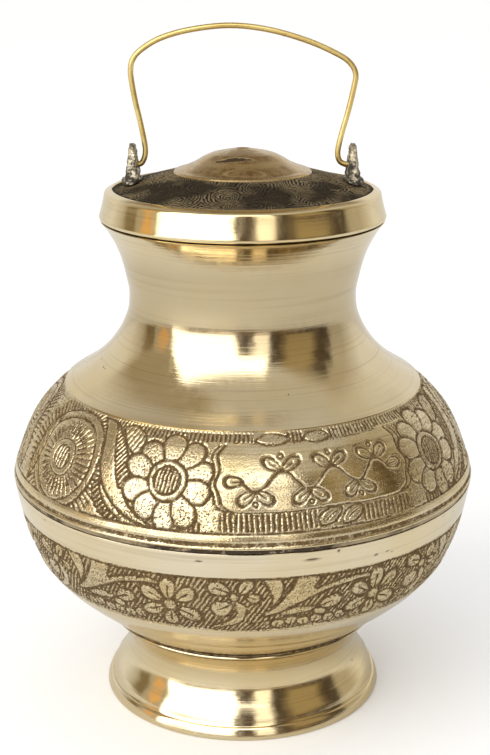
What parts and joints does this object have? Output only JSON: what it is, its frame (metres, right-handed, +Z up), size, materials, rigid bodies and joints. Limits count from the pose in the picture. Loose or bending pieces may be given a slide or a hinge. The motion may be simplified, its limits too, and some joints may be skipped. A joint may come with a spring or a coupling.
{
  "type": "lidded brass water pot",
  "caption": "Footed brass water pot with waisted neck, screw lid with riveted ears and a swinging wire bail; holds water and hangs or is carried by the bail.",
  "frame": {"origin": "centre of the foot's standing ring, on the surface the pot stands on", "axes": "+Z up along the pot's turning axis; X through the two ears that carry the bail; -Y is the front"},
  "size_m": [0.12, 0.12, 0.1755],
  "materials": {
    "polished_brass": "polished",
    "engraved_brass": "polished with dark patina in the engraving",
    "braze": "rough, tarnished",
    "washer": "matte",
    "as_cast_brass": "rough as cast",
    "wire_brass": "drawn, satin"
  },
  "bodies": {
    "pot": {"foot": "polished_brass", "foot_braze_seam": "braze", "lower_bowl": "engraved_brass", "belly_braze_seam": "braze", "upper_body": "engraved_brass", "mouth_thread_ring": "polished_brass"},
    "washer": {"seal_washer": "washer"},
    "lid": {"lid_cap": "polished_brass", "lid_thread_plug": "polished_brass", "ear_left": "as_cast_brass", "ear_right": "as_cast_brass"},
    "bail": {"bail_wire": "wire_brass"}
  },
  "joints": [
    {"name": "lid_lift", "type": "slide", "parent": "pot", "child": "washer", "axis": [0, 0, 1], "range_m": [0, 0.012]},
    {"name": "lid_turn", "type": "hinge", "parent": "washer", "child": "lid", "pos_m": [0, 0, 0.1275], "axis": [0, 0, 1], "range_deg": [0, 1440]},
    {"name": "bail_swing", "type": "hinge", "parent": "lid", "child": "bail", "pos_m": [0, 0, 0.1409], "axis": [1, 0, 0], "range_deg": [-97, 97]}
  ],
  "couplings": [
    {"joint": "lid_lift", "follows": "lid_turn", "m_per_rad": 0.00047746}
  ]
}
